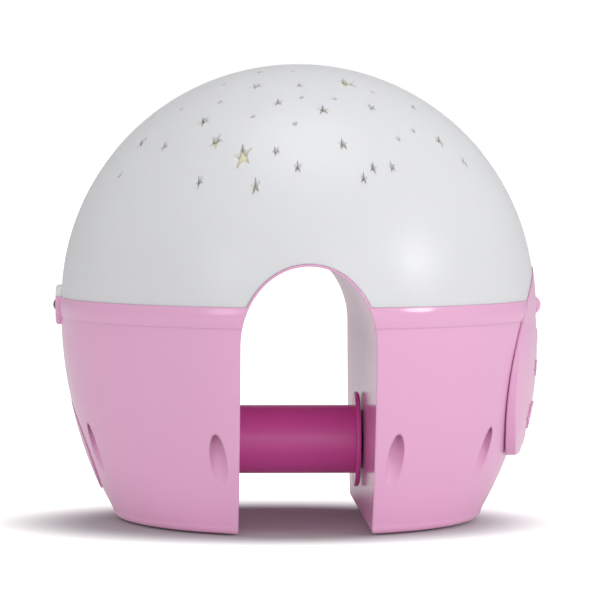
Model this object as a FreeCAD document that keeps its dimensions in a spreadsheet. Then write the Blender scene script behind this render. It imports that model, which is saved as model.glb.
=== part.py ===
import FreeCAD, Part
import math
import os

import Sketcher
from FreeCAD import Placement, Rotation, Vector

# A night light for a cot rail: a white dome full of star windows on a pink base that straddles the rail.
# The rail slot runs along Y, the clamp slides along X out of the left leg, and Z is up.
# All lengths are millimetres, and the origin is the middle of the footprint on the table.

doc = FreeCAD.newDocument("star_light")
sheet = doc.addObject("Spreadsheet::Sheet", "dim")

SIZES = {
    # running fit between pieces that are pushed together
    "fit_gap": 0.1,
    # how far a cut runs past the face that it opens
    "over_cut": 1.0,
    # dome
    "dome_radius": 72.5,
    "dome_wall": 1.2,
    "diffuser_wall": 1.4,
    "diffuser_gap": 0.2,
    "dot_window_radius": 0.7,
    # moulded base
    "foot_radius": 56.3,
    "foot_height": 0.5,
    "foot_round": 2.5,
    "foot_flare": 0.375,
    "band_bottom": 61.7,
    "band_depth": 6.1,
    "band_proud": 0.65,
    "band_edge": 0.2,
    "seam_rise": 1.4,
    "deck_rise": 0.8,
    "lip_width": 4.0,
    # rail slot
    "slot_half": 19.55,
    "spring_line": 56.64,
    "arch_rise": 23.0,
    "lining_wall": 2.4,
    "lining_lip": 0.7,
    "lining_proud": 0.15,
    "arch_gap": 0.06,
    "slot_corner": 1.0,
    # clamp
    "clamp_height": 23.75,
    "clamp_reach": 17.4,
    "clamp_travel": 28.0,
    "clamp_stop_gap": 0.8,
    "barrel_radius": 10.5,
    "barrel_wall": 1.8,
    "barrel_gap": 0.35,
    "barrel_face": 2.0,
    "flange_radius": 14.9,
    "flange_depth": 1.5,
    "flange_round": 0.825,
    "pad_radius": 9.2,
    "pad_depth": 1.0,
    "pad_recess": 0.6,
    "guide_wall": 1.2,
    "guide_inset": 13.1,
    "cap_radius": 13.5,
    "cap_drop": 1.4,
    "cap_wall": 1.8,
    "cap_sink": 0.3,
    "cap_gap": 0.4,
    "spring_wire": 1.3,
    "spring_gap": 0.8,
    # screw channels up the outside of the base
    "channel_radius": 2.6,
    "channel_inset": 7.1,
    "channel_top": 37.0,
    "screw_shank": 1.4,
    "screw_head": 2.3,
    "screw_head_depth": 1.8,
    "screw_length": 14.0,
    # badge on the front
    "badge_half_width": 36.0,
    "badge_half_height": 31.5,
    "badge_height": 46.0,
    "badge_foot": 20.8,
    "badge_proud": 0.55,
    "badge_foot_proud": 3.2,
    "badge_gap": 0.08,
    # buttons and bezel
    "button_drop": 2.6,
    "button_travel": 0.8,
    "button_gap": 0.3,
    "button_depth": 4.5,
    "button_crown": 1.5,
    "button_proud": 2.5,
    "front_button_radius": 2.65,
    "rear_button_radius": 2.15,
    "bezel_radius": 6.15,
    "bezel_depth": 6.5,
    "bezel_proud": 1.7,
    "bezel_round": 1.0,
    "bezel_rim": 1.4,
    "bezel_dish": 0.6,
    # batteries
    "cell_radius": 7.2,
    "cell_length": 50.0,
    "cell_gap": 0.5,
    "cell_headroom": 1.2,
    "cell_nub_radius": 2.7,
    "cell_nub": 1.5,
    "contact_wall": 0.4,
    "bay_offset": 16.45,
    "door_depth": 2.0,
    "door_margin": 2.0,
    "door_gap": 0.2,
    # light engine
    "light_deck_gap": 3.0,
    "light_deck_inset": 17.5,
    "light_deck_wall": 2.0,
    "post_radius": 4.0,
    "post_inset": 5.0,
    "post_azimuth": 28.6,
    "spacer_radius": 2.5,
    "spacer_height": 3.0,
    "board_wall": 1.6,
    "board_length": 62.0,
    "board_width": 50.0,
    "led_board_radius": 15.0,
    "led_radius": 2.5,
    "led_ring": 7.0,
    "led_height": 6.0,
    "reflector_radius": 24.0,
    "reflector_height": 9.0,
    "reflector_wall": 1.2,
    "reflector_gap": 0.5,
    # soft feet
    "soft_foot_radius": 4.0,
    "soft_foot_inset": 7.5,
    "soft_foot_azimuth": 47.5,
}

for row, (alias, size) in enumerate(SIZES.items(), start=1):
    sheet.set(f"A{row}", alias)
    sheet.set(f"B{row}", str(size))
    sheet.setAlias(f"B{row}", alias)
doc.recompute()

# Formulas that several pieces share
BAND_TOP = "(dim.band_bottom + dim.band_depth)"
BAND_MIDDLE = "(dim.band_bottom + dim.band_depth / 2)"
BAND_SWELL = "(dim.band_proud - dim.band_edge)"
BAND_ARC = f"(dim.band_depth ^ 2 / (8 * {BAND_SWELL}) + {BAND_SWELL} / 2)"
DOME_CENTRE = f"({BAND_TOP} - dim.seam_rise)"
DECK_HEIGHT = "(dim.band_bottom + dim.deck_rise)"
BASE_DEPTH = "(dim.dome_radius - dim.foot_radius)"
BASE_FALL = "(dim.band_bottom - dim.foot_height)"
UNDER_FLOOR = "(-dim.over_cut)"
CLEAR_SPAN = "(4 * dim.dome_radius)"
GUIDE_BORE = "(dim.barrel_radius + dim.barrel_gap)"
GUIDE_RADIUS = f"({GUIDE_BORE} + dim.guide_wall)"
GUIDE_END = "(dim.guide_inset - dim.dome_radius)"
GUIDE_MOUTH = "(-dim.slot_half - dim.lining_wall)"
CLAMP_TAIL = f"({GUIDE_END} + dim.guide_wall + dim.clamp_stop_gap + dim.clamp_travel)"
DIFFUSER_RADIUS = "(dim.dome_radius - dim.dome_wall - dim.diffuser_gap)"
BAY_CENTRE = "(dim.slot_half + dim.bay_offset)"
BAY_LENGTH = "(3 * (2 * dim.cell_radius + dim.cell_gap) + dim.cell_gap)"
BAY_WIDTH = "(2 * (dim.cell_radius + dim.cell_gap))"
BUTTON_HEIGHT = f"({BAND_TOP} - dim.button_drop)"
BUTTON_ROOT = "(dim.dome_radius - dim.button_depth)"
BUTTON_FLOOR = f"({BUTTON_ROOT} - dim.button_travel - dim.fit_gap)"
BUTTON_BORE = "(dim.front_button_radius + dim.button_gap)"
BUTTON_TIP = "(dim.dome_radius + dim.button_proud)"
BEZEL_ROOT = "(dim.dome_radius - dim.bezel_depth)"
BEZEL_TIP = "(dim.dome_radius + dim.bezel_proud)"
CAP_HEIGHT = "(dim.clamp_height - dim.cap_drop)"
BADGE_REACH = "(dim.dome_radius + dim.badge_proud)"
CHANNEL_REACH = "(dim.dome_radius - dim.channel_inset)"
LIGHT_DECK_RADIUS = "(dim.dome_radius - dim.light_deck_inset)"
LIGHT_DECK = "(dim.spring_line + dim.arch_rise + dim.lining_wall + dim.light_deck_gap)"
DECK_TOP = f"({LIGHT_DECK} + dim.light_deck_wall)"
BOARD_FOOT = f"({DECK_TOP} + dim.spacer_height)"
BOARD_TOP = f"({BOARD_FOOT} + dim.board_wall)"

# Azimuths of the eight screw channels in degrees from the near end of the slot: four on each leg
CHANNEL_AZIMUTHS = [-157, -110, -70, -23, 23, 55, 125, 157]

# Star windows in plan: place to the right, place in depth, span across the points and turn in degrees
STAR_WINDOWS = [
    (-18.6, -53.7, 6.2, 0), (13.1, -25.6, 7.4, 20), (-26.2, -46.5, 4.5, 30), (-29.5, -36.9, 4.1, 10),
    (-13.9, -28.1, 4.1, 25), (5.3, -42.7, 4.1, 5), (40.2, -34.6, 4.1, 0), (-47.6, -24.7, 4.1, 15),
    (-7.8, -39.2, 3.4, 0), (10.5, -53.0, 3.4, 12), (-15.1, -60.9, 3.2, 0), (19.8, -36.8, 3.4, 30),
    (-1.2, -30.8, 2.9, 0), (-12.5, -15.1, 3.1, 20), (-41.1, -36.1, 2.9, 0), (-9.0, -55.0, 2.7, 25),
    (-2.9, -59.2, 2.7, 0), (-31.1, -53.7, 2.7, 10), (19.1, -56.2, 2.7, 0), (24.8, -53.7, 2.7, 30),
    (16.2, -59.2, 2.5, 0), (47.7, -33.3, 2.7, 20), (33.2, -25.1, 3.1, 0),
]
DOT_WINDOWS = [
    (-2.7, -18.6), (-0.9, -37.6), (8.9, -37.1), (-15.3, -43.0), (-24.7, -31.2), (-23.5, -19.2),
    (-35.9, -23.0), (-3.2, -48.0), (20.8, -27.4), (32.1, -38.4), (27.2, -44.8), (-56.0, -13.3),
    (-54.1, -28.3), (-44.8, -11.8), (-38.7, -1.9), (47.0, -12.0),
]

sub_parts = []


def value(formula):
    return FreeCAD.Units.Quantity(sheet.evalExpression(str(formula))).Value


def keep(piece, label):
    piece.Label = label
    sub_parts.append(piece)
    return piece


def bind(piece, **formulas):
    for prop, formula in formulas.items():
        piece.setExpression(prop, str(formula))


def place(piece, x=0, y=0, z=0, axis=Vector(0, 0, 1), angle=0):
    piece.Placement = Placement(Vector(0, 0, 0), Rotation(axis, angle))
    piece.setExpression("Placement.Base.x", str(x))
    piece.setExpression("Placement.Base.y", str(y))
    piece.setExpression("Placement.Base.z", str(z))
    return piece


def cylinder(name, radius, height, **where):
    piece = doc.addObject("Part::Cylinder", name)
    bind(piece, Radius=radius, Height=height)
    return place(piece, **where)


def sideways_cylinder(name, radius, length, x, z):
    # Lies along +X and starts at x.
    return cylinder(name, radius, length, x=x, z=z, axis=Vector(0, 1, 0), angle=90)


def sphere(name, radius, **where):
    piece = doc.addObject("Part::Sphere", name)
    bind(piece, Radius=radius)
    return place(piece, **where)


def box(name, length, width, height, **where):
    piece = doc.addObject("Part::Box", name)
    bind(piece, Length=length, Width=width, Height=height)
    return place(piece, **where)


def centred_box(name, length, width, height, x, z):
    return box(name, length, width, height, x=f"{x} - ({length}) / 2", y=f"-({width}) / 2", z=z)


def join(name, pieces):
    piece = doc.addObject("Part::MultiFuse", name)
    piece.Shapes = pieces
    return piece


def common(name, pieces):
    piece = doc.addObject("Part::MultiCommon", name)
    piece.Shapes = pieces
    return piece


def cut(name, base, tool):
    piece = doc.addObject("Part::Cut", name)
    piece.Base = base
    piece.Tool = tool
    return piece


def new_sketch(body, name, plane):
    sketch = body.newObject("Sketcher::SketchObject", name)
    feature = [item for item in body.Origin.OriginFeatures if item.Role == plane][0]
    sketch.AttachmentSupport = (feature, [""])
    sketch.MapMode = "FlatFace"
    return sketch


def arc_between(start, end, radius):
    # A positive radius turns anticlockwise from start to end, a negative one clockwise.
    chord = end - start
    side = Vector(-chord.y, chord.x, 0).normalize()
    reach = math.sqrt(max(radius ** 2 - (chord.Length / 2) ** 2, 0))
    centre = (start + end) * 0.5 + side * math.copysign(reach, radius)
    first, last = (start, end) if radius > 0 else (end, start)
    angles = [math.atan2(point.y - centre.y, point.x - centre.x) for point in (first, last)]
    return Part.ArcOfCircle(Part.Circle(centre, Vector(0, 0, 1), abs(radius)), *angles)


def outline(sketch, corners):
    # Closed loop: each corner is two formulas, and a third is the radius of the arc that leaves it.
    points = [Vector(value(corner[0]), value(corner[1]), 0) for corner in corners]
    ends = []
    for index, corner in enumerate(corners):
        start = points[index]
        end = points[(index + 1) % len(points)]
        if len(corner) == 2:
            sketch.addGeometry(Part.LineSegment(start, end))
            ends.append((1, 2))
        else:
            radius = value(corner[2])
            edge = sketch.addGeometry(arc_between(start, end, radius))
            ends.append((1, 2) if radius > 0 else (2, 1))
            number = sketch.addConstraint(Sketcher.Constraint("Radius", edge, abs(radius)))
            sketch.setExpression(f"Constraints[{number}]", f"abs({corner[2]})")
    for index in range(len(corners)):
        following = (index + 1) % len(corners)
        joint = Sketcher.Constraint("Coincident", index, ends[index][1], following, ends[following][0])
        sketch.addConstraint(joint)
    for index, corner in enumerate(corners):
        for kind, formula, size in zip(("DistanceX", "DistanceY"), corner[:2], points[index][:2]):
            fix = Sketcher.Constraint(kind, -1, 1, index, ends[index][0], size)
            number = sketch.addConstraint(fix)
            sketch.setExpression(f"Constraints[{number}]", str(formula))


def turned(label, corners):
    # Body of revolution about Z from an outline of (radius, height) corners.
    body = doc.addObject("PartDesign::Body", label)
    sketch = new_sketch(body, f"{label}_profile", "XZ_Plane")
    outline(sketch, corners)
    turn = body.newObject("PartDesign::Revolution", f"{label}_turn")
    turn.Profile = sketch
    turn.ReferenceAxis = (sketch, ["V_Axis"])
    turn.Angle = 360
    return body


def turned_along_x(label, corners, height):
    # The same about an axis along X: each corner's second value is its place along X.
    return place(turned(label, corners), z=height, axis=Vector(0, 1, 0), angle=90)


def flank_radius(depth):
    # Arc that stands upright at the band and comes in by depth at the foot.
    return f"(({BASE_FALL} ^ 2 + ({depth}) ^ 2) / (2 * ({depth})))"


def flank_envelope(label, grow, low, high):
    # Solid with the outside of the base from the floor to the band, moved outwards by grow.
    return turned(label, [
        ("0", low),
        (f"dim.foot_radius + {grow}", low),
        (f"dim.foot_radius + {grow}", "dim.foot_height", flank_radius(BASE_DEPTH)),
        (f"dim.dome_radius + {grow}", "dim.band_bottom"),
        (f"dim.dome_radius + {grow}", high),
        ("0", high),
    ])


def slot_prism(label, grow):
    # Tall arch swept along Y: straight sides up to the spring line, then half an ellipse.
    side = f"dim.slot_half + {grow}"
    straight = centred_box(
        f"{label}_straight", f"2 * ({side})", CLEAR_SPAN, "dim.spring_line + dim.dome_radius",
        x="0", z="-dim.dome_radius",
    )
    ellipse = doc.addObject("Part::Ellipse", f"{label}_ellipse")
    bind(ellipse, MajorRadius=f"dim.arch_rise + {grow}", MinorRadius=side)
    crown = doc.addObject("Part::Extrusion", f"{label}_crown")
    crown.Base = ellipse
    crown.DirMode = "Normal"
    crown.Solid = True
    crown.Symmetric = True
    bind(crown, LengthFwd=CLEAR_SPAN)
    # The ellipse's long axis turns up to Z, and its extrusion to Y.
    crown.Placement.Rotation = Rotation(Vector(0, 0, 1), Vector(1, 0, 0), Vector(0, 1, 0), "XYZ")
    crown.setExpression("Placement.Base.z", "dim.spring_line")
    return join(label, [straight, crown])


def ring_of(label, radius, height, z):
    # One upright cylinder at each screw channel.
    pins = []
    for azimuth in CHANNEL_AZIMUTHS:
        across = math.sin(math.radians(azimuth))
        along = -math.cos(math.radians(azimuth))
        pins.append(cylinder(
            f"{label}_{azimuth % 360}", radius, height,
            x=f"{CHANNEL_REACH} * {across:.6f}", y=f"{CHANNEL_REACH} * {along:.6f}", z=z,
        ))
    return pins


def badge_prism(label, grow):
    # Oval with a straight foot, swept along X through the front of the light.
    oval = doc.addObject("Part::Ellipse", f"{label}_oval")
    bind(oval, MajorRadius=f"dim.badge_half_width + {grow}", MinorRadius=f"dim.badge_half_height + {grow}")
    prism = doc.addObject("Part::Extrusion", f"{label}_prism")
    prism.Base = oval
    prism.DirMode = "Normal"
    prism.Solid = True
    bind(prism, LengthFwd="2 * dim.dome_radius")
    prism.Placement.Rotation = Rotation(Vector(0, 1, 0), Vector(0, 0, 1), Vector(1, 0, 0), "XYZ")
    prism.setExpression("Placement.Base.z", "dim.badge_height")
    prism.setExpression("Placement.Base.x", "dim.slot_half")
    window = centred_box(
        f"{label}_window", CLEAR_SPAN, CLEAR_SPAN, "2 * dim.dome_radius", x="0", z=f"dim.badge_foot - {grow}",
    )
    return common(label, [prism, window])


def leg_corner(side):
    # What is cut from a leg to round the long edge between its inner wall and its underside.
    across = f"{side} * (dim.slot_half + dim.slot_corner)"
    block = centred_box(
        f"corner_block_{side + 1}", "2 * dim.slot_corner", CLEAR_SPAN, "2 * dim.slot_corner",
        x=f"{side} * dim.slot_half", z="dim.foot_height - dim.slot_corner",
    )
    rounding = cylinder(
        f"corner_round_{side + 1}", "dim.slot_corner", CLEAR_SPAN, x=across, y=f"-{CLEAR_SPAN} / 2",
        z="dim.foot_height + dim.slot_corner", axis=Vector(1, 0, 0), angle=-90,
    )
    return cut(f"corner_{side + 1}", block, rounding)


# Lining of the rail arch: thick under the dome's shell, and a thin lip where it shows through the cover
def make_arch_lining():
    deck = f"{DECK_HEIGHT} - dim.over_cut"
    rings = []
    for name, wall, reach in (
        ("lining", "dim.lining_wall", "dim.dome_radius - dim.dome_wall - dim.fit_gap"),
        ("lip", "dim.lining_lip", "dim.dome_radius + dim.lining_proud"),
    ):
        limit = sphere(f"{name}_limit", reach, z=DOME_CENTRE)
        above = centred_box(f"{name}_above", CLEAR_SPAN, CLEAR_SPAN, "2 * dim.dome_radius", x="0", z=deck)
        rings.append(common(f"{name}_ring", [slot_prism(f"{name}_outside", wall), limit, above]))
    return rings


# Moulded base: the two legs, the band under the dome and the arch between the legs
def make_lower_housing():
    lip = "dim.dome_radius - dim.lip_width"
    band_edge = "dim.dome_radius + dim.band_edge"
    bowl = turned("base_bowl", [
        ("0", "dim.foot_height"),
        ("dim.foot_radius - dim.foot_round", "dim.foot_height", "dim.foot_round"),
        ("dim.foot_radius + dim.foot_flare", "dim.foot_height + dim.foot_round", flank_radius(BASE_DEPTH)),
        ("dim.dome_radius", "dim.band_bottom"),
        (band_edge, "dim.band_bottom", BAND_ARC),
        (band_edge, BAND_TOP),
        (lip, BAND_TOP),
        (lip, DECK_HEIGHT),
        ("0", DECK_HEIGHT),
    ])
    solid = join("base_solid", [bowl, *make_arch_lining()])
    bay = centred_box(
        "battery_bay", BAY_WIDTH, BAY_LENGTH,
        "dim.over_cut + dim.door_depth + dim.cell_length + 2 * dim.contact_wall + dim.cell_headroom",
        x=BAY_CENTRE, z="dim.foot_height - dim.over_cut",
    )
    door_recess = centred_box(
        "door_recess", f"{BAY_WIDTH} + 2 * dim.door_margin", f"{BAY_LENGTH} + 3 * dim.door_margin",
        "dim.door_depth + dim.over_cut", x=BAY_CENTRE, z="dim.foot_height - dim.over_cut",
    )
    guide_hole = sideways_cylinder(
        "guide_hole", GUIDE_RADIUS, f"{GUIDE_MOUTH} + 2 * dim.dome_radius",
        x="-2 * dim.dome_radius", z="dim.clamp_height",
    )
    guide_mouth = sideways_cylinder(
        "guide_mouth_hole", GUIDE_BORE, "dim.slot_half", x="-dim.slot_half - 2 * dim.lining_wall",
        z="dim.clamp_height",
    )
    cap_seat = cut(
        "cap_seat",
        sideways_cylinder(
            "cap_seat_round", "dim.cap_radius + dim.cap_gap", "2 * dim.dome_radius",
            x="-2 * dim.dome_radius", z=CAP_HEIGHT,
        ),
        flank_envelope("cap_seat_floor", "(-dim.cap_wall)", UNDER_FLOOR, "dim.band_bottom + dim.over_cut"),
    )
    badge_seat = cut(
        "badge_seat", badge_prism("badge_seat_oval", "dim.badge_gap"),
        flank_envelope("badge_seat_floor", "0", UNDER_FLOOR, f"{BAND_TOP} + dim.over_cut"),
    )
    button_hole = sideways_cylinder(
        "front_button_hole", BUTTON_BORE, "dim.dome_radius", x=BUTTON_FLOOR, z=BUTTON_HEIGHT,
    )
    bezel_hole = sideways_cylinder(
        "bezel_hole_in_base", "dim.bezel_radius", "dim.dome_radius",
        x=f"-{BEZEL_ROOT} - dim.dome_radius", z=BUTTON_HEIGHT,
    )
    channels = ring_of("channel", "dim.channel_radius", f"dim.channel_top - {UNDER_FLOOR}", UNDER_FLOOR)
    pilots = ring_of(
        "pilot", "dim.screw_shank", "dim.screw_length + dim.over_cut", "dim.channel_top - dim.over_cut",
    )
    hollows = join("base_hollows", [
        slot_prism("rail_slot", "0"), leg_corner(-1), leg_corner(1), bay, door_recess, guide_hole,
        guide_mouth, cap_seat, badge_seat, button_hole, bezel_hole, *channels, *pilots,
    ])
    keep(cut("base_cut", solid, hollows), "lower_housing")


def make_housing_screws():
    seat = "dim.channel_top - dim.screw_head_depth"
    heads = ring_of("head", "dim.screw_head", "dim.screw_head_depth", seat)
    shanks = ring_of(
        "shank", "dim.screw_shank - dim.fit_gap", "dim.screw_length - dim.fit_gap",
        "dim.channel_top - dim.fit_gap",
    )
    for number, (head, shank) in enumerate(zip(heads, shanks), start=1):
        keep(join(f"screw_{number}", [head, shank]), f"housing_screw_{number}")


def star_prism(x, y, span, turn, height):
    points = []
    for number in range(10):
        reach = span / 2 if number % 2 == 0 else span * 0.21
        angle = math.radians(90 + turn + 36 * number)
        points.append(Vector(x + reach * math.cos(angle), y + reach * math.sin(angle), 0))
    face = Part.Face(Part.makePolygon(points + points[:1]))
    return face.extrude(Vector(0, 0, height))


def window_tools():
    # The windows are drawn straight down through the dome, so low ones come out tall.
    height = value(f"{DOME_CENTRE} + 1.2 * dim.dome_radius")
    radius = value("dim.dot_window_radius")
    tools = []
    for side in (1, -1):
        for x, y, span, turn in STAR_WINDOWS:
            tools.append(star_prism(side * x, side * y, span, turn + 90 - 90 * side, height))
        for x, y in DOT_WINDOWS:
            tools.append(Part.makeCylinder(radius, height, Vector(side * x, side * y, 0)))
    windows = doc.addObject("Part::Feature", "star_windows")
    windows.Shape = Part.makeCompound(tools)
    return windows


# Half a hollow ball above the seam, open over the rail arch, at the rear bezel and at the front button
def half_shell(label, radius, wall, lining):
    ball = cut(
        f"{label}_ball", sphere(f"{label}_outside", radius, z=DOME_CENTRE),
        sphere(f"{label}_inside", f"{radius} - {wall}", z=DOME_CENTRE),
    )
    above = centred_box(
        f"{label}_above", CLEAR_SPAN, CLEAR_SPAN, "2 * dim.dome_radius", x="0", z=BAND_TOP,
    )
    half = common(f"{label}_half", [ball, above])
    arch = slot_prism(f"{label}_arch", f"{lining} + dim.arch_gap")
    bezel_hole = sideways_cylinder(
        f"{label}_bezel_hole", "dim.bezel_radius", "dim.dome_radius",
        x=f"-{BEZEL_ROOT} - dim.dome_radius", z=BUTTON_HEIGHT,
    )
    button_hole = sideways_cylinder(
        f"{label}_button_hole", BUTTON_BORE, "dim.dome_radius", x=BUTTON_FLOOR, z=BUTTON_HEIGHT,
    )
    return cut(f"{label}_open", half, join(f"{label}_cutters", [arch, bezel_hole, button_hole]))


def make_dome():
    cover = half_shell("cover", "dim.dome_radius", "dim.dome_wall", "dim.lining_lip")
    keep(cut("cover_with_windows", cover, window_tools()), "dome_cover")
    keep(half_shell("diffuser", DIFFUSER_RADIUS, "dim.diffuser_wall", "dim.lining_wall"), "dome_diffuser")


# Clamp: hollow plunger with a wide round foot and a rubber face, driven towards the right leg by a spring
def make_clamp():
    barrel_bore = "dim.barrel_radius - dim.barrel_wall"
    rim = "dim.flange_radius - dim.flange_depth / 2"
    face = "dim.clamp_reach + dim.flange_depth"
    blind = "dim.clamp_reach - dim.barrel_face"
    keep(turned_along_x("plunger", [
        (barrel_bore, CLAMP_TAIL),
        ("dim.barrel_radius", CLAMP_TAIL),
        ("dim.barrel_radius", "dim.clamp_reach"),
        (rim, "dim.clamp_reach", "dim.flange_round"),
        (rim, face),
        ("dim.pad_radius", face),
        ("dim.pad_radius", f"{face} - dim.pad_recess"),
        ("0", f"{face} - dim.pad_recess"),
        ("0", blind),
        (barrel_bore, blind),
    ], "dim.clamp_height"), "clamp_plunger")
    keep(sideways_cylinder(
        "pad", "dim.pad_radius - dim.fit_gap", "dim.pad_depth", x=f"{face} - dim.pad_recess",
        z="dim.clamp_height",
    ), "clamp_pad")
    guide_floor = f"{GUIDE_END} + dim.guide_wall"
    keep(turned_along_x("guide", [
        ("0", GUIDE_END),
        (GUIDE_RADIUS, GUIDE_END),
        (GUIDE_RADIUS, GUIDE_MOUTH),
        (GUIDE_BORE, GUIDE_MOUTH),
        (GUIDE_BORE, guide_floor),
        ("0", guide_floor),
    ], "dim.clamp_height"), "clamp_guide")
    coil_radius = f"{barrel_bore} - dim.spring_gap"
    keep(turned_along_x("coil", [
        (f"{coil_radius} - dim.spring_wire", guide_floor),
        (coil_radius, guide_floor),
        (coil_radius, blind),
        (f"{coil_radius} - dim.spring_wire", blind),
    ], "dim.clamp_height"), "clamp_spring")
    plate = cut(
        "cap_plate",
        sideways_cylinder(
            "cap_round", "dim.cap_radius", "2 * dim.dome_radius", x="-2 * dim.dome_radius", z=CAP_HEIGHT,
        ),
        flank_envelope("cap_inside", "(-dim.cap_wall)", UNDER_FLOOR, "dim.band_bottom + dim.over_cut"),
    )
    plug = sideways_cylinder(
        "cap_plug", f"{GUIDE_RADIUS} - dim.fit_gap", f"{GUIDE_END} + 2 * dim.dome_radius",
        x="-2 * dim.dome_radius", z="dim.clamp_height",
    )
    limit = flank_envelope("cap_outside", "(-dim.cap_sink)", UNDER_FLOOR, "dim.band_bottom + dim.over_cut")
    keep(common("cap", [join("cap_body", [plate, plug]), limit]), "clamp_end_cap")


# Raised oval badge that follows the front of the base, fills a gap in the band and climbs the dome's foot
def make_badge():
    foot = "dim.foot_radius + dim.badge_foot_proud"
    outside = turned("badge_outside", [
        ("0", "0"),
        (foot, "0"),
        (foot, "dim.foot_height", flank_radius(f"{BADGE_REACH} - {foot}")),
        (BADGE_REACH, "dim.band_bottom"),
        (BADGE_REACH, BAND_MIDDLE, BADGE_REACH),
        ("0", f"{BAND_MIDDLE} + {BADGE_REACH}"),
    ])
    raised = common("badge_raised", [outside, badge_prism("badge_oval", "0")])
    behind = join("badge_behind", [
        flank_envelope("badge_back", "dim.badge_gap", UNDER_FLOOR, BAND_TOP),
        sphere("badge_back_dome", "dim.dome_radius + dim.badge_gap", z=DOME_CENTRE),
        sideways_cylinder("badge_button_hole", BUTTON_BORE, "2 * dim.dome_radius", x="0", z=BUTTON_HEIGHT),
    ])
    keep(cut("badge_cut", raised, behind), "front_badge")


def round_button(label, radius):
    # Short plunger with a domed end.
    crown_radius = f"(({radius}) ^ 2 + dim.button_crown ^ 2) / (2 * dim.button_crown)"
    return turned(label, [
        ("0", BUTTON_ROOT),
        (radius, BUTTON_ROOT),
        (radius, f"{BUTTON_TIP} - dim.button_crown", crown_radius),
        ("0", BUTTON_TIP),
    ])


# Push buttons: one in the middle of the front band, one at the rear inside a split bezel
def make_buttons():
    front = round_button("front_plunger", "dim.front_button_radius")
    keep(place(front, z=BUTTON_HEIGHT, axis=Vector(0, 1, 0), angle=90), "front_button")
    rear = round_button("rear_plunger", "dim.rear_button_radius")
    keep(place(rear, z=BUTTON_HEIGHT, axis=Vector(0, 1, 0), angle=-90), "rear_button")
    bore = "dim.rear_button_radius + dim.button_gap"
    for name, foot in (("upper", BAND_TOP), ("lower", f"{BAND_TOP} - 2 * dim.dome_radius")):
        ring = turned(f"{name}_bezel_ring", [
            ("0", BEZEL_ROOT),
            ("dim.bezel_radius", BEZEL_ROOT),
            ("dim.bezel_radius", f"{BEZEL_TIP} - dim.bezel_round", "dim.bezel_round"),
            ("dim.bezel_radius - dim.bezel_round", BEZEL_TIP),
            ("dim.rear_button_radius + dim.bezel_rim", f"{BEZEL_TIP} - dim.bezel_dish"),
            (bore, f"{BEZEL_TIP} - 2 * dim.bezel_dish"),
            (bore, BUTTON_FLOOR),
            ("0", BUTTON_FLOOR),
        ])
        place(ring, z=BUTTON_HEIGHT, axis=Vector(0, 1, 0), angle=-90)
        part = centred_box(
            f"{name}_bezel_part", CLEAR_SPAN, CLEAR_SPAN, "2 * dim.dome_radius", x="0", z=foot,
        )
        keep(common(f"{name}_bezel", [ring, part]), f"rear_bezel_{name}")


# Three cells stand in the right leg behind a door in its underside
def make_batteries():
    pitch = "(2 * dim.cell_radius + dim.cell_gap)"
    floor = "dim.foot_height + dim.door_depth + dim.contact_wall"
    for number in (1, 2, 3):
        along = f"{number - 2} * {pitch}"
        can = cylinder(
            f"cell_can_{number}", "dim.cell_radius", "dim.cell_length - dim.cell_nub",
            x=BAY_CENTRE, y=along, z=floor,
        )
        nub = cylinder(
            f"cell_nub_{number}", "dim.cell_nub_radius", "2 * dim.cell_nub",
            x=BAY_CENTRE, y=along, z=f"{floor} + dim.cell_length - 2 * dim.cell_nub",
        )
        keep(join(f"cell_{number}", [can, nub]), f"battery_{number}")
    keep(centred_box(
        "contact_strip", f"{BAY_WIDTH} - 2", f"{BAY_LENGTH} - 2", "dim.contact_wall",
        x=BAY_CENTRE, z=f"{floor} + dim.cell_length",
    ), "battery_contacts")
    gap = "2 * dim.door_gap"
    keep(centred_box(
        "door_plate", f"{BAY_WIDTH} + 2 * dim.door_margin - {gap}",
        f"{BAY_LENGTH} + 3 * dim.door_margin - {gap}", "dim.door_depth",
        x=BAY_CENTRE, z="dim.foot_height",
    ), "battery_door")


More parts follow.
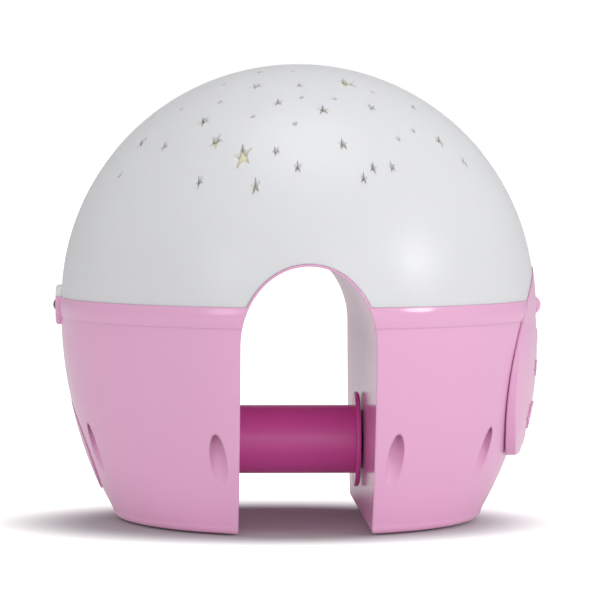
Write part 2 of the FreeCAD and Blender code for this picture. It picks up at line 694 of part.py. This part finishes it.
# Light engine on a round deck above the arch
def make_light_engine():
    plate = cylinder("deck_plate", LIGHT_DECK_RADIUS, "dim.light_deck_wall", z=LIGHT_DECK)
    posts = []
    spacers = []
    reach = f"({LIGHT_DECK_RADIUS} - dim.post_inset)"
    for across in (-1, 1):
        for along in (-1, 1):
            posts.append(cylinder(
                f"post_{across + 1}_{along + 1}", "dim.post_radius", f"{LIGHT_DECK} - {DECK_HEIGHT}",
                x=f"{across} * {reach} * cos(dim.post_azimuth)",
                y=f"{along} * {reach} * sin(dim.post_azimuth)", z=DECK_HEIGHT,
            ))
            spacers.append(cylinder(
                f"spacer_{across + 1}_{along + 1}", "dim.spacer_radius", "dim.spacer_height",
                x=f"{across} * (dim.board_length / 2 - 2 * dim.spacer_radius)",
                y=f"{along} * (dim.board_width / 2 - 2 * dim.spacer_radius)", z=DECK_TOP,
            ))
    keep(join("deck", [plate, *posts, *spacers]), "light_deck")
    board = centred_box("board", "dim.board_length", "dim.board_width", "dim.board_wall", x="0", z=BOARD_FOOT)
    keep(board, "main_circuit_board")
    keep(cylinder("led_plate", "dim.led_board_radius", "dim.board_wall", z=BOARD_TOP), "led_board")
    led_foot = f"{BOARD_TOP} + dim.board_wall"
    for number in (1, 2, 3):
        angle = math.radians(120 * number - 30)
        where = {"x": f"dim.led_ring * {math.cos(angle):.6f}", "y": f"dim.led_ring * {math.sin(angle):.6f}"}
        stem = cylinder(f"led_stem_{number}", "dim.led_radius", "dim.led_height", z=led_foot, **where)
        bulb = sphere(f"led_bulb_{number}", "dim.led_radius", z=f"{led_foot} + dim.led_height", **where)
        keep(join(f"led_body_{number}", [stem, bulb]), f"led_{number}")
    foot_radius = "dim.led_board_radius + dim.reflector_gap"
    keep(turned("reflector", [
        (foot_radius, BOARD_TOP),
        (f"{foot_radius} + dim.reflector_wall", BOARD_TOP),
        ("dim.reflector_radius + dim.reflector_wall", f"{BOARD_TOP} + dim.reflector_height"),
        ("dim.reflector_radius", f"{BOARD_TOP} + dim.reflector_height"),
    ]), "light_reflector")


def make_soft_feet():
    number = 0
    reach = "(dim.foot_radius - dim.soft_foot_inset)"
    for across in (-1, 1):
        for along in (-1, 1):
            number += 1
            keep(cylinder(
                f"foot_{number}", "dim.soft_foot_radius", "dim.foot_height",
                x=f"{across} * {reach} * cos(dim.soft_foot_azimuth)",
                y=f"{along} * {reach} * sin(dim.soft_foot_azimuth)",
            ), f"rubber_foot_{number}")


make_lower_housing()
make_housing_screws()
make_dome()
make_clamp()
make_badge()
make_buttons()
make_batteries()
make_light_engine()
make_soft_feet()

doc.recompute()
for item in doc.Objects:
    if "Invalid" in item.State or "Error" in item.State:
        raise RuntimeError(f"{item.Label} did not build: {item.State}")
for piece in sub_parts:
    if piece.Shape.isNull() or not piece.Shape.isValid():
        raise RuntimeError(f"{piece.Label} has no valid shape")

os.makedirs("parts", exist_ok=True)
for piece in sub_parts:
    piece.Shape.exportStep(os.path.join("parts", f"{piece.Label}.step"))
    box_size = piece.Shape.BoundBox
    print(f"{piece.Label}: {len(piece.Shape.Solids)} solid, {piece.Shape.Volume / 1000:.2f} cm3, "
          f"x {box_size.XMin:.2f} to {box_size.XMax:.2f}, z {box_size.ZMin:.2f} to {box_size.ZMax:.2f}")
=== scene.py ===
import math

import bpy
from mathutils import Matrix, Vector


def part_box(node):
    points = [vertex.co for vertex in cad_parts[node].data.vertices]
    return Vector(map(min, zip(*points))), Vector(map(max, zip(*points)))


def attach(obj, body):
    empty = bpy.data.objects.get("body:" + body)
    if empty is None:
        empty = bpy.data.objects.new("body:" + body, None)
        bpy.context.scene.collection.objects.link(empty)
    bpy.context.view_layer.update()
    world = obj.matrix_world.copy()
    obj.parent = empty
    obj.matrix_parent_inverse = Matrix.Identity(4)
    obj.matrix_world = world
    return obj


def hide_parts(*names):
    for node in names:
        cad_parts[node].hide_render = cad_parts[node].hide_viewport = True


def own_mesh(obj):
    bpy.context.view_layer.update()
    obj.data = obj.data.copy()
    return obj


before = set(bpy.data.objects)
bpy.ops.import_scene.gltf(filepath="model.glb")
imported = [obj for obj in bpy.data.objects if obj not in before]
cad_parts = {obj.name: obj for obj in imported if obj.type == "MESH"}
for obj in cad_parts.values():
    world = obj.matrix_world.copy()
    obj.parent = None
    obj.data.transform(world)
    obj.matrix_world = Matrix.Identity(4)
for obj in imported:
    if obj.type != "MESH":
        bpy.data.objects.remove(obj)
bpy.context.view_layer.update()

# Lower housing: one ABS moulding in candy pink with two legs, a rolled band and the lip round the arch.
# It leaves a polished mould, so its gloss is clear, with a faint long ripple where the plastic flowed,
# and its edges carry the small radius of the mould.


def linear(hex_code):
    channels = [int(hex_code[start:start + 2], 16) / 255 for start in (1, 3, 5)]
    return tuple(c / 12.92 if c <= 0.04045 else ((c + 0.055) / 1.055) ** 2.4 for c in channels) + (1.0,)


def add_node(tree, kind, links=None, **settings):
    made = tree.nodes.new(kind)
    for name, setting in settings.items():
        setattr(made, name, setting)
    for socket, source in (links or {}).items():
        if isinstance(source, bpy.types.NodeSocket):
            tree.links.new(source, made.inputs[socket])
        else:
            made.inputs[socket].default_value = source
    return made


def moulded_plastic(name, light, dark, roughness, ripple_mm, ripple_height_mm, edge_mm=0.0, sinks_mm=0.0):
    # Colour drifts over 40 mm, gloss by 15 % over 12 mm, and the ripple has its own spacing and height.
    drift_mm, gloss_mm, gloss_share = 40, 12, 0.15
    material = bpy.data.materials.new(name)
    material.use_nodes = True
    tree = material.node_tree
    shader = tree.nodes["Principled BSDF"]
    place = add_node(tree, "ShaderNodeTexCoord").outputs["Object"]
    flow = add_node(tree, "ShaderNodeTexNoise", {"Vector": place, "Scale": 1000 / drift_mm, "Detail": 2.0})
    tint = add_node(tree, "ShaderNodeMix", {0: flow.outputs["Fac"], 6: linear(light), 7: linear(dark)},
                    data_type="RGBA")
    tree.links.new(tint.outputs[2], shader.inputs["Base Color"])
    gloss = add_node(tree, "ShaderNodeTexNoise", {"Vector": place, "Scale": 1000 / gloss_mm, "Detail": 3.0})
    spread = add_node(tree, "ShaderNodeMapRange", {
        "Value": gloss.outputs["Fac"],
        "To Min": (1 - gloss_share) * roughness, "To Max": (1 + gloss_share) * roughness,
    })
    tree.links.new(spread.outputs["Result"], shader.inputs["Roughness"])
    ripple = add_node(tree, "ShaderNodeTexNoise", {"Vector": place, "Scale": 1000 / ripple_mm, "Detail": 2.0})
    bump = add_node(tree, "ShaderNodeBump", {
        "Height": ripple.outputs["Fac"], "Strength": 1.0, "Distance": ripple_height_mm / 1000,
    })
    if edge_mm:
        rounded = add_node(tree, "ShaderNodeBevel", {"Radius": edge_mm / 1000}, samples=6)
        tree.links.new(rounded.outputs["Normal"], bump.inputs["Normal"])
    tree.links.new(bump.outputs["Normal"], shader.inputs["Normal"])
    shader.inputs["IOR"].default_value = 1.53
    if sinks_mm:
        shader.inputs["Subsurface Weight"].default_value = 0.35
        shader.inputs["Subsurface Radius"].default_value = (1.0, 0.85, 0.75)
        shader.inputs["Subsurface Scale"].default_value = sinks_mm / 1000
    return material


def finish_node(name, material):
    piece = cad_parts[name]
    for place in piece.material_slots:
        place.material = material
    return piece


pink_abs = moulded_plastic("pink ABS, polished mould", "#F0B6DA", "#EDB0D5", 0.16, 9.0, 0.006, edge_mm=0.7)
finish_node("lower_housing", pink_abs)

# Battery compartment: three AA cells stand in the right leg, under bright plated strips and over a door.
# The cells wear a plain shrink film, the strips are nickel-plated steel, and the snap-in door is housing ABS.
# Its finger grip is a row of low ribs moulded across the middle.
cell_film = moulded_plastic("PET shrink film on steel can", "#A7ABB0", "#9CA0A5", 0.18, 5.0, 0.002)
for number in (1, 2, 3):
    finish_node(f"battery_{number}", cell_film)


def plated_metal(name, light, dark, roughness, grain_mm):
    # Plating has no body colour of its own: the tint is the metal's reflection, and its grain is fine.
    metal = moulded_plastic(name, light, dark, roughness, grain_mm, 0.003)
    metal.node_tree.nodes["Principled BSDF"].inputs["Metallic"].default_value = 1.0
    metal.node_tree.nodes["Principled BSDF"].inputs["IOR"].default_value = 1.5
    return metal


nickel_strip = plated_metal("nickel-plated steel strip", "#CFC9BC", "#C4BEB1", 0.24, 1.0)
finish_node("battery_contacts", nickel_strip)
finish_node("battery_door", pink_abs)


def new_tree(name, **inputs):
    # Geometry Nodes tree with one geometry output and the named inputs.
    tree = bpy.data.node_groups.new(name, "GeometryNodeTree")
    tree.interface.new_socket("Geometry", in_out="OUTPUT", socket_type="NodeSocketGeometry")
    for label, kind in inputs.items():
        tree.interface.new_socket(label.replace("_", " "), in_out="INPUT", socket_type=f"NodeSocket{kind}")
    return tree, tree.nodes.new("NodeGroupInput").outputs, tree.nodes.new("NodeGroupOutput").inputs


def end_tree(tree, geometry, material, out):
    solid = add_node(tree, "GeometryNodeRealizeInstances", {"Geometry": geometry})
    painted = add_node(tree, "GeometryNodeSetMaterial", {"Geometry": solid.outputs["Geometry"],
                                                         "Material": material})
    tree.links.new(painted.outputs["Geometry"], out["Geometry"])


def settled(name, tree, material, body, slot, **sizes):
    # Runs the tree once, keeps its result as a plain mesh, and lets that ride on its body.
    piece = bpy.data.objects.new(name, bpy.data.meshes.new(name))
    bpy.context.scene.collection.objects.link(piece)
    modifier = piece.modifiers.new(name, "NODES")
    modifier.node_group = tree
    for item in tree.interface.items_tree:
        if item.in_out == "INPUT":
            wanted = material if item.name == "Material" else sizes[item.name.replace(" ", "_")]
            modifier[item.identifier] = wanted
    evaluated = piece.evaluated_get(bpy.context.evaluated_depsgraph_get())
    mesh = bpy.data.meshes.new_from_object(evaluated)
    piece.modifiers.remove(modifier)
    piece.data = mesh
    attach(piece, body)
    return piece


tree, into, out = new_tree("row_of_ribs", Count="Int", Pitch="Float", Length="Float", Radius="Float",
                           Middle="Vector", Material="Material")
step = add_node(tree, "ShaderNodeCombineXYZ", {"Y": into["Pitch"]})
back = add_node(tree, "ShaderNodeMath", {0: into["Count"], 1: 1.0}, operation="SUBTRACT")
half = add_node(tree, "ShaderNodeMath", {0: back.outputs[0], 1: -0.5}, operation="MULTIPLY")
first = add_node(tree, "ShaderNodeVectorMath", {
    0: step.outputs[0], "Scale": half.outputs[0],
}, operation="SCALE")
start = add_node(tree, "ShaderNodeVectorMath", {0: first.outputs[0], 1: into["Middle"]}, operation="ADD")
row = add_node(tree, "GeometryNodeMeshLine", {
    "Count": into["Count"], "Start Location": start.outputs[0], "Offset": step.outputs[0],
})
rib = add_node(tree, "GeometryNodeMeshCylinder", {
    "Vertices": 24, "Radius": into["Radius"], "Depth": into["Length"],
})
rounded = add_node(tree, "GeometryNodeSetShadeSmooth", {"Geometry": rib.outputs["Mesh"]})
ribs = add_node(tree, "GeometryNodeInstanceOnPoints", {
    "Points": row.outputs["Mesh"], "Instance": rounded.outputs["Geometry"],
    "Rotation": (0.0, math.radians(90), 0.0),
})
end_tree(tree, ribs.outputs["Instances"], into["Material"], out)
door_low, door_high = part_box("battery_door")
settled(
    "battery_door_grip", tree, pink_abs, "base", "pink_plastic", Count=5, Pitch=0.0022, Length=0.011,
    Radius=0.0003, Middle=((door_low[0] + door_high[0]) / 2, (door_low[1] + door_high[1]) / 2, door_low[2]),
)

# Clamp: a magenta ABS plunger with a wide round foot slides out of a guide tube in the left leg.
# A coil of spring wire pushes it against the rail, and a soft black face is pressed into the foot.
# A deeper pink cap closes the guide at the outside of the leg.
magenta_abs = moulded_plastic("magenta ABS, polished mould", "#F96FC8", "#F369C2", 0.2, 7.0, 0.005,
                              edge_mm=0.3)
finish_node("clamp_plunger", magenta_abs)
cap_abs = moulded_plastic("deep pink ABS, polished mould", "#E59AC6", "#E094C1", 0.2, 9.0, 0.006, edge_mm=0.4)
finish_node("clamp_end_cap", cap_abs)
acetal = moulded_plastic("grey acetal, eroded mould", "#75696F", "#6C6167", 0.42, 0.7, 0.012)
finish_node("clamp_guide", acetal)


def moulded_rubber(name, light, dark, speck_mm):
    # Rubber copies the grain of its mould and has dust in it, so it is matt and slightly uneven.
    rubber = moulded_plastic(name, light, dark, 0.62, speck_mm, 0.03)
    tree = rubber.node_tree
    shader = tree.nodes["Principled BSDF"]
    shader.inputs["IOR"].default_value = 1.52
    shader.inputs["Sheen Weight"].default_value = 0.15
    shader.inputs["Sheen Roughness"].default_value = 0.5
    return rubber


finish_node("clamp_pad", moulded_rubber("black EPDM rubber", "#1B191D", "#141215", 0.9))

tree, into, out = new_tree("coil_spring", Turns="Float", Coil_Radius="Float", Wire_Radius="Float",
                           Length="Float", Foot="Vector", Material="Material")
helix = add_node(tree, "GeometryNodeCurveSpiral", {
    "Resolution": 28, "Rotations": into["Turns"], "Start Radius": into["Coil Radius"],
    "End Radius": into["Coil Radius"], "Height": into["Length"],
})
wire = add_node(tree, "GeometryNodeCurvePrimitiveCircle", {"Resolution": 12, "Radius": into["Wire Radius"]})
coil = add_node(tree, "GeometryNodeCurveToMesh", {
    "Curve": helix.outputs["Curve"], "Profile Curve": wire.outputs["Curve"], "Fill Caps": True,
})
laid = add_node(tree, "GeometryNodeTransform", {
    "Geometry": coil.outputs["Mesh"], "Translation": into["Foot"], "Rotation": (0.0, math.radians(90), 0.0),
})
drawn = add_node(tree, "GeometryNodeSetShadeSmooth", {"Geometry": laid.outputs["Geometry"]})
end_tree(tree, drawn.outputs["Geometry"], into["Material"], out)
coil_low, coil_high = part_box("clamp_spring")
wire_radius = 0.00065
coil_height = (coil_low[2] + coil_high[2]) / 2
spring_steel = plated_metal("drawn spring steel wire", "#BDBBB6", "#B0AEA9", 0.22, 0.8)
spring = settled(
    "clamp_coil", tree, spring_steel, "base", "spring_steel", Turns=15.0,
    Coil_Radius=(coil_high[2] - coil_low[2]) / 2 - wire_radius, Wire_Radius=wire_radius,
    Length=coil_high[0] - coil_low[0] - 2 * wire_radius,
    Foot=(coil_low[0] + wire_radius, 0.0, coil_height),
)
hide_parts("clamp_spring")
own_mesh(spring)

# Light engine: a round deck on four posts carries the main board, the lamp board and its reflector.
# The deck and reflector are plain white ABS, the boards green-coated glass fibre, the LEDs cast epoxy.
# None of it shows while the dome is on.
deck_abs = moulded_plastic("white ABS, eroded mould", "#ECECEA", "#E4E4E2", 0.5, 0.8, 0.012)
finish_node("light_deck", deck_abs)
finish_node("light_reflector", deck_abs)
solder_mask = moulded_plastic("green solder mask", "#1F6B3C", "#195C33", 0.3, 0.6, 0.01)
finish_node("main_circuit_board", solder_mask)
finish_node("led_board", solder_mask)
led_epoxy = moulded_plastic("cast LED epoxy", "#F6F5EA", "#EFEEE2", 0.08, 2.0, 0.002)
led_epoxy.node_tree.nodes["Principled BSDF"].inputs["Transmission Weight"].default_value = 0.6
for number in (1, 2, 3):
    finish_node(f"led_{number}", led_epoxy)

# Dome: a cream diffuser shell inside a milk-white satin cover, whose star windows are moulded right through.
# Both are polypropylene: light sinks a little way in, which softens the windows' walls and every shadow.
# The cream shows only at the bottom of the windows.
cream_diffuser = moulded_plastic("cream polypropylene, satin mould", "#FFF6D2", "#FBF0C8", 0.45, 3.0, 0.006,
                                 sinks_mm=3.0)
finish_node("dome_diffuser", cream_diffuser)
milk_cover = moulded_plastic("milk-white polypropylene, satin mould", "#EAEAEC", "#E7E7EA", 0.34, 3.0, 0.005,
                             edge_mm=0.35, sinks_mm=3.0)
finish_node("dome_cover", milk_cover)

# Badge: a thin pink oval let into the band and the dome's foot, with a scatter of raised stars.
# It is moulded in the housing's ABS and clipped on from the front.
# The stars follow its curved face and stand half a millimetre off it.
badge = finish_node("front_badge", pink_abs)


def raised_prism(tree, flat, height):
    # Closed solid over a flat shape: its raised top with the walls, welded to the turned-over foot.
    top = add_node(tree, "GeometryNodeExtrudeMesh", {
        "Mesh": flat, "Offset Scale": height, "Individual": False,
    })
    foot = add_node(tree, "GeometryNodeFlipFaces", {"Mesh": flat})
    both = add_node(tree, "GeometryNodeJoinGeometry")
    tree.links.new(top.outputs["Mesh"], both.inputs["Geometry"])
    tree.links.new(foot.outputs["Mesh"], both.inputs["Geometry"])
    return add_node(tree, "GeometryNodeMergeByDistance", {"Geometry": both.outputs["Geometry"],
                                                          "Distance": 1e-6})


tree, into, out = new_tree("raised_stars", Face="Object", Reach="Float", Height="Float", Count="Int",
                           Ring="Float", Middle="Vector", Material="Material")
cut_star = add_node(tree, "GeometryNodeCurveStar", {
    "Points": 5, "Inner Radius": 0.0021, "Outer Radius": 0.0045,
})
flat_star = add_node(tree, "GeometryNodeFillCurve", {"Curve": cut_star.outputs["Curve"]})
fine_star = add_node(tree, "GeometryNodeSubdivideMesh", {"Mesh": flat_star.outputs["Mesh"], "Level": 3})
star = raised_prism(tree, fine_star.outputs["Mesh"], into["Height"])
ring = add_node(tree, "GeometryNodeMeshCircle", {"Vertices": into["Count"], "Radius": into["Ring"]})
upright = add_node(tree, "GeometryNodeTransform", {
    "Geometry": ring.outputs["Mesh"], "Translation": into["Middle"],
    "Rotation": (math.radians(90), 0.0, math.radians(90)),
})
index = add_node(tree, "GeometryNodeInputIndex")
smallest, most_spin = 0.55, 0.4
swell = add_node(tree, "FunctionNodeRandomValue", {
    "ID": index.outputs["Index"], "Seed": 7, 2: smallest, 3: into["Reach"],
}, data_type="FLOAT")
spin = add_node(tree, "FunctionNodeRandomValue", {
    "ID": index.outputs["Index"], "Seed": 11, 2: -most_spin, 3: most_spin,
}, data_type="FLOAT")
lean = add_node(tree, "ShaderNodeCombineXYZ", {"X": math.radians(90), "Y": spin.outputs[1],
                                               "Z": math.radians(90)})
stars = add_node(tree, "GeometryNodeInstanceOnPoints", {
    "Points": upright.outputs["Geometry"], "Instance": star.outputs["Geometry"],
    "Rotation": lean.outputs[0], "Scale": swell.outputs[1],
})
loose = add_node(tree, "GeometryNodeRealizeInstances", {"Geometry": stars.outputs["Instances"]})
spot = add_node(tree, "GeometryNodeInputPosition")
parts = add_node(tree, "ShaderNodeSeparateXYZ", {0: spot.outputs["Position"]})
middle_x = add_node(tree, "ShaderNodeSeparateXYZ", {0: into["Middle"]})
depth = add_node(tree, "ShaderNodeMath", {
    0: parts.outputs["X"], 1: middle_x.outputs["X"],
}, operation="SUBTRACT")
source = add_node(tree, "ShaderNodeCombineXYZ", {"X": middle_x.outputs["X"], "Y": parts.outputs["Y"],
                                                 "Z": parts.outputs["Z"]})
surface = add_node(tree, "GeometryNodeObjectInfo", {"Object": into["Face"]})
hit = add_node(tree, "GeometryNodeRaycast", {
    "Target Geometry": surface.outputs["Geometry"], "Source Position": source.outputs[0],
    "Ray Direction": (-1.0, 0.0, 0.0), "Ray Length": 0.1,
}, data_type="FLOAT")
hit_parts = add_node(tree, "ShaderNodeSeparateXYZ", {0: hit.outputs["Hit Position"]})
lifted = add_node(tree, "ShaderNodeMath", {0: hit_parts.outputs["X"], 1: depth.outputs[0]}, operation="ADD")
landed = add_node(tree, "ShaderNodeCombineXYZ", {"X": lifted.outputs[0], "Y": parts.outputs["Y"],
                                                 "Z": parts.outputs["Z"]})
moved = add_node(tree, "GeometryNodeSetPosition", {"Geometry": loose.outputs["Geometry"],
                                                   "Position": landed.outputs[0]})
flat = add_node(tree, "GeometryNodeSetShadeSmooth", {"Geometry": moved.outputs["Geometry"],
                                                     "Shade Smooth": False})
end_tree(tree, flat.outputs["Geometry"], into["Material"], out)
badge_low, badge_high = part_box("front_badge")
ray_clearance = 0.01
below_button = 0.053
ring_lift = 0.003
settled(
    "badge_stars", tree, pink_abs, "base", "pink_plastic", Face=badge, Reach=1.0, Height=0.0005, Count=7,
    Ring=0.0165,
    Middle=(badge_high[0] + ray_clearance, 0.0, (badge_low[2] + below_button) / 2 + ring_lift),
)

# Switches: a pink push button through the front of the band, and a dark one at the rear in a split bezel.
# The lower half of the bezel is housing ABS, and the upper half is the cover's white.
# Both buttons press a tact switch behind the wall.
finish_node("front_button", pink_abs)
finish_node("rear_button", acetal)
finish_node("rear_bezel_lower", pink_abs)
finish_node("rear_bezel_upper", milk_cover)

# Housing screws: eight pan-head self-tapping screws up the channels round the legs.
# They are zinc-plated steel, slightly yellow, and each head has a pressed cross recess, drawn as a dark cross
# set into the head: painted shade where the recess would be.
zinc_plate = plated_metal("zinc-plated steel", "#CBC9BF", "#BDBBB0", 0.3, 1.2)
for number in range(1, 9):
    finish_node(f"housing_screw_{number}", zinc_plate)

tree, into, out = new_tree("cross_recesses", Heads="Object", Reach="Float", Depth="Float",
                           Material="Material")
heads = add_node(tree, "GeometryNodeObjectInfo", {"Object": into["Heads"]})
waist_share = 0.24
narrow = add_node(tree, "ShaderNodeMath", {0: into["Reach"], 1: waist_share}, operation="MULTIPLY")
cross = add_node(tree, "GeometryNodeCurveStar", {
    "Points": 4, "Outer Radius": into["Reach"], "Inner Radius": narrow.outputs[0],
})
flat_cross = add_node(tree, "GeometryNodeFillCurve", {"Curve": cross.outputs["Curve"]})
whole = raised_prism(tree, flat_cross.outputs["Mesh"], into["Depth"])
crosses = add_node(tree, "GeometryNodeInstanceOnPoints", {
    "Points": heads.outputs["Geometry"], "Instance": whole.outputs["Geometry"],
})
end_tree(tree, crosses.outputs["Instances"], into["Material"], out)
recess_depth = 0.0004
proud_share = 0.25
head_marks = bpy.data.meshes.new("screw_head_marks")
head_marks.from_pydata([
    ((low[0] + high[0]) / 2, (low[1] + high[1]) / 2, low[2] - proud_share * recess_depth)
    for low, high in (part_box(f"housing_screw_{number}") for number in range(1, 9))
], [], [])
marks = bpy.data.objects.new("screw_head_marks", head_marks)
bpy.context.scene.collection.objects.link(marks)
# Painted shade: the crosses are not cut into the heads, and their dark zinc stands in for the shade down in
# each recess.
recess_painted_shade = plated_metal("painted shade in the drive recess", "#4A4946", "#3E3D3A", 0.5, 0.6)
settled("screw_drive_recesses", tree, recess_painted_shade, "base", "spring_steel", Heads=marks, Reach=0.00135,
        Depth=recess_depth)
bpy.data.objects.remove(marks)

# Feet: four thin rubber discs glued under the legs keep the light still on a shelf.
# They are moulded in grey rubber with the grain of their mould.
foot_rubber = moulded_rubber("grey nitrile rubber", "#948D92", "#878085", 0.8)
for number in range(1, 5):
    finish_node(f"rubber_foot_{number}", foot_rubber)

# Studio floor: a white sweep that turns to pure white away from the object and keeps its soft shadow.
# The cast shadow shows only inside a drawn oval, wider than deep, whose middle lies a little left and in
# front of the object's; camera rays see a greyer copy of the floor there, painted shade that deepens the cast
# shadow.
floor_mesh = bpy.data.meshes.new("studio_floor")
floor_half = 30.0
floor_mesh.from_pydata([(-floor_half, -floor_half, 0), (floor_half, -floor_half, 0),
                        (floor_half, floor_half, 0), (-floor_half, floor_half, 0)], [], [(0, 1, 2, 3)])
floor = bpy.data.objects.new("studio_floor", floor_mesh)
bpy.context.scene.collection.objects.link(floor)
sweep = bpy.data.materials.new("white studio sweep")
sweep.use_nodes = True
tree = sweep.node_tree
tree.nodes.clear()
place = add_node(tree, "ShaderNodeTexCoord").outputs["Object"]
shadow_offset = (0.008, 0.018, 0.0)
shadow_squeeze = (1.0, 1.5, 1.0)
dark_radius, clear_radius = 0.052, 0.105
shifted = add_node(tree, "ShaderNodeVectorMath", {0: place, 1: shadow_offset}, operation="ADD")
ellipse = add_node(tree, "ShaderNodeVectorMath", {
    0: shifted.outputs["Vector"], 1: shadow_squeeze,
}, operation="MULTIPLY")
away = add_node(tree, "ShaderNodeVectorMath", {0: ellipse.outputs["Vector"]}, operation="LENGTH")
fade = add_node(tree, "ShaderNodeMapRange", {
    "Value": away.outputs["Value"], "From Min": dark_radius, "From Max": clear_radius,
    "To Min": 0.02, "To Max": 1.0,
}, interpolation_type="SMOOTHSTEP")
matt = add_node(tree, "ShaderNodeBsdfDiffuse", {"Color": linear("#F4F4F4")})
# Painted shade: the camera sees this greyer copy of the floor, while light bounces off the whiter one.
shade = add_node(tree, "ShaderNodeBsdfDiffuse", {"Color": linear("#B8B8B8")})
white = add_node(tree, "ShaderNodeEmission", {"Color": (1, 1, 1, 1), "Strength": fade.outputs["Result"]})
lit = add_node(tree, "ShaderNodeAddShader", {0: shade.outputs["BSDF"], 1: white.outputs["Emission"]})
path = add_node(tree, "ShaderNodeLightPath")
choice = add_node(tree, "ShaderNodeMixShader", {0: path.outputs["Is Camera Ray"], 1: matt.outputs["BSDF"],
                                                2: lit.outputs["Shader"]})
add_node(tree, "ShaderNodeOutputMaterial", {"Surface": choice.outputs["Shader"]})
floor_mesh.materials.append(sweep)

# World: plain white behind the object, a weaker even light on it, and a weaker one still in its gloss.
light_behind, light_around, light_mirrored = 1.0, 0.6, 0.4
world = bpy.data.worlds.new("studio")
bpy.context.scene.world = world
world.use_nodes = True
tree = world.node_tree
tree.nodes.clear()
path = add_node(tree, "ShaderNodeLightPath")
backdrop = add_node(tree, "ShaderNodeMath", {
    0: path.outputs["Is Camera Ray"], 1: light_behind - light_around, 2: light_around,
}, operation="MULTIPLY_ADD")
level = add_node(tree, "ShaderNodeMath", {
    0: path.outputs["Is Glossy Ray"], 1: light_mirrored - light_around, 2: backdrop.outputs["Value"],
}, operation="MULTIPLY_ADD")
sky = add_node(tree, "ShaderNodeBackground", {"Color": (1, 1, 1, 1), "Strength": level.outputs["Value"]})
add_node(tree, "ShaderNodeOutputWorld", {"Surface": sky.outputs["Background"]})

# Lamps: a wide one overhead, a broad front fill, and two soft boxes in front, the right one stronger.
# All point at the middle of the light's height.
lit_point = Vector((0, 0, 0.07))


def soft_box(name, azimuth, elevation, distance, size, power):
    data = bpy.data.lights.new(name, "AREA")
    data.shape = "DISK"
    data.size = size
    data.energy = power
    lamp = bpy.data.objects.new(name, data)
    turn, rise = math.radians(azimuth), math.radians(elevation)
    back = Vector((math.sin(turn) * math.cos(rise), -math.cos(turn) * math.cos(rise), math.sin(rise)))
    lamp.location = lit_point + back * distance
    lamp.rotation_mode = "QUATERNION"
    lamp.rotation_quaternion = (-back).to_track_quat("-Z", "Y")
    bpy.context.scene.collection.objects.link(lamp)


soft_box("overhead_lamp", azimuth=10, elevation=80, distance=1.2, size=0.9, power=3.3)
soft_box("front_fill", azimuth=18, elevation=8, distance=1.8, size=1.2, power=3.2)
soft_box("right_soft_box", azimuth=57, elevation=18, distance=1.4, size=0.35, power=3.3)
soft_box("left_soft_box", azimuth=-37, elevation=15, distance=1.4, size=0.35, power=0.9)

# Camera: level with the dome, a little left of the slot's axis.
camera_data = bpy.data.cameras.new("photo_camera")
camera_data.lens = 196.4
camera_data.sensor_width = 36.0
camera = bpy.data.objects.new("photo_camera", camera_data)
camera.location = (-0.0463, -1.0039, 0.1160)
aim = Vector((0.0007, 0.0, 0.0666))
roll = math.radians(0.178)
look = (aim - camera.location).to_track_quat("-Z", "Y").to_matrix() @ Matrix.Rotation(roll, 3, "Z")
camera.rotation_euler = look.to_euler()
bpy.context.scene.collection.objects.link(camera)
bpy.context.scene.camera = camera
bpy.context.scene.view_settings.view_transform = "Standard"
